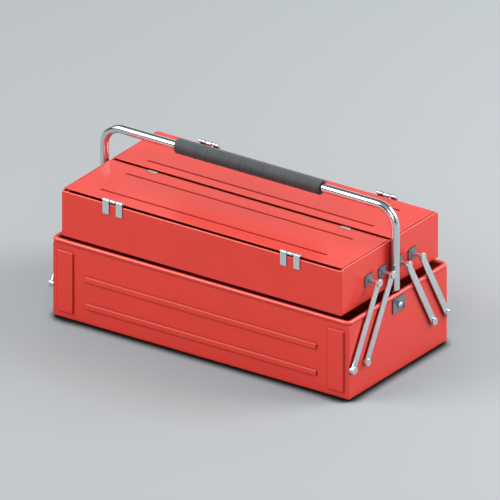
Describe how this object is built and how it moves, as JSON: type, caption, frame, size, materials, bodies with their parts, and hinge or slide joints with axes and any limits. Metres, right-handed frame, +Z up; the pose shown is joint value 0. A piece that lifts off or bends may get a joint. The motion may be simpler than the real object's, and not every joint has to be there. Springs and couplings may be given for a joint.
{
  "type": "cantilever toolbox",
  "caption": "Red steel cantilever toolbox: lidded trays swing outwards on flat side links over an open base box, with a tube handle and foam grip",
  "frame": {"origin": "centre of the footprint, on the plane that the feet stand on", "axes": "+X along the length, -Y the front with the lid tabs' tray, +Z up"},
  "size_m": [0.4424, 0.2094, 0.2239],
  "materials": {
    "red_paint": "satin red powder coat",
    "plated_steel": "bright zinc plate, satin",
    "dark_plate": "dark blue-grey, satin",
    "bright_tube": "polished plate",
    "foam_grip": "matt foam rubber",
    "rubber_feet": "matt"
  },
  "bodies": {
    "base": {"base_shell": "red_paint", "feet": "rubber_feet", "handle_plate_right": "dark_plate", "handle_plate_left": "dark_plate", "handle_bolt_right": "plated_steel", "handle_bolt_left": "plated_steel", "handle_spacer_right": "plated_steel", "handle_spacer_left": "plated_steel", "handle_nut_right": "plated_steel", "handle_nut_left": "plated_steel", "link_pins_right": "plated_steel", "link_pins_left": "plated_steel", "link_spacers_right": "plated_steel", "link_spacers_left": "plated_steel"},
    "handle": {"handle_tube": "bright_tube", "handle_grip": "foam_grip"},
    "front_right_outer_link": {"link_outer_front_right": "plated_steel"},
    "front_right_inner_link": {"link_inner_front_right": "plated_steel"},
    "front_left_outer_link": {"link_outer_front_left": "plated_steel"},
    "front_left_inner_link": {"link_inner_front_left": "plated_steel"},
    "front_tray": {"tray_front": "red_paint", "stud_plates_front": "dark_plate", "tray_studs_front": "plated_steel", "hinge_straps_front_right": "plated_steel", "hinge_pin_front_right": "plated_steel", "hinge_straps_front_left": "plated_steel", "hinge_pin_front_left": "plated_steel"},
    "front_lid": {"lid_front": "red_paint", "hinge_leaf_front_right": "plated_steel", "hinge_leaf_front_left": "plated_steel", "lid_tabs": "plated_steel"},
    "back_right_outer_link": {"link_outer_back_right": "plated_steel"},
    "back_right_inner_link": {"link_inner_back_right": "plated_steel"},
    "back_left_outer_link": {"link_outer_back_left": "plated_steel"},
    "back_left_inner_link": {"link_inner_back_left": "plated_steel"},
    "back_tray": {"tray_back": "red_paint", "stud_plates_back": "dark_plate", "tray_studs_back": "plated_steel", "hinge_straps_back_right": "plated_steel", "hinge_pin_back_right": "plated_steel", "hinge_straps_back_left": "plated_steel", "hinge_pin_back_left": "plated_steel"},
    "back_lid": {"lid_back": "red_paint", "hinge_leaf_back_right": "plated_steel", "hinge_leaf_back_left": "plated_steel"}
  },
  "joints": [
    {"name": "front_links_swing", "type": "hinge", "parent": "base", "child": "front_right_outer_link", "pos_m": [0.21795, -0.099, 0.0415], "axis": [1, 0, 0], "range_deg": [0, 98]},
    {"name": "front_right_inner_link_swing", "type": "hinge", "parent": "base", "child": "front_right_inner_link", "pos_m": [0.21795, -0.0702, 0.0415], "axis": [1, 0, 0], "range_deg": [0, 98]},
    {"name": "front_left_outer_link_swing", "type": "hinge", "parent": "base", "child": "front_left_outer_link", "pos_m": [-0.21795, -0.099, 0.0415], "axis": [1, 0, 0], "range_deg": [0, 98]},
    {"name": "front_left_inner_link_swing", "type": "hinge", "parent": "base", "child": "front_left_inner_link", "pos_m": [-0.21795, -0.0702, 0.0415], "axis": [1, 0, 0], "range_deg": [0, 98]},
    {"name": "front_tray_level", "type": "hinge", "parent": "front_right_outer_link", "child": "front_tray", "pos_m": [0.21795, -0.0457, 0.1365], "axis": [1, 0, 0], "range_deg": [-98, 0]},
    {"name": "front_lid_open", "type": "hinge", "parent": "front_tray", "child": "front_lid", "pos_m": [0, -0.1014, 0.1726], "axis": [1, 0, 0], "range_deg": [0, 260]},
    {"name": "back_links_swing", "type": "hinge", "parent": "base", "child": "back_right_outer_link", "pos_m": [0.21795, 0.099, 0.0415], "axis": [-1, 0, 0], "range_deg": [0, 98]},
    {"name": "back_right_inner_link_swing", "type": "hinge", "parent": "base", "child": "back_right_inner_link", "pos_m": [0.21795, 0.0702, 0.0415], "axis": [-1, 0, 0], "range_deg": [0, 98]},
    {"name": "back_left_outer_link_swing", "type": "hinge", "parent": "base", "child": "back_left_outer_link", "pos_m": [-0.21795, 0.099, 0.0415], "axis": [-1, 0, 0], "range_deg": [0, 98]},
    {"name": "back_left_inner_link_swing", "type": "hinge", "parent": "base", "child": "back_left_inner_link", "pos_m": [-0.21795, 0.0702, 0.0415], "axis": [-1, 0, 0], "range_deg": [0, 98]},
    {"name": "back_tray_level", "type": "hinge", "parent": "back_right_outer_link", "child": "back_tray", "pos_m": [0.21795, 0.0457, 0.1365], "axis": [-1, 0, 0], "range_deg": [-98, 0]},
    {"name": "back_lid_open", "type": "hinge", "parent": "back_tray", "child": "back_lid", "pos_m": [0, 0.1014, 0.1726], "axis": [-1, 0, 0], "range_deg": [0, 260]},
    {"name": "handle_lean", "type": "hinge", "parent": "base", "child": "handle", "pos_m": [0, 0, 0.0907], "axis": [1, 0, 0], "range_deg": [-10, 10]}
  ],
  "couplings": [
    {"joint": "front_right_inner_link_swing", "follows": "front_links_swing", "ratio": 1},
    {"joint": "front_left_outer_link_swing", "follows": "front_links_swing", "ratio": 1},
    {"joint": "front_left_inner_link_swing", "follows": "front_links_swing", "ratio": 1},
    {"joint": "front_tray_level", "follows": "front_links_swing", "ratio": -1},
    {"joint": "back_right_inner_link_swing", "follows": "back_links_swing", "ratio": 1},
    {"joint": "back_left_outer_link_swing", "follows": "back_links_swing", "ratio": 1},
    {"joint": "back_left_inner_link_swing", "follows": "back_links_swing", "ratio": 1},
    {"joint": "back_tray_level", "follows": "back_links_swing", "ratio": -1}
  ]
}
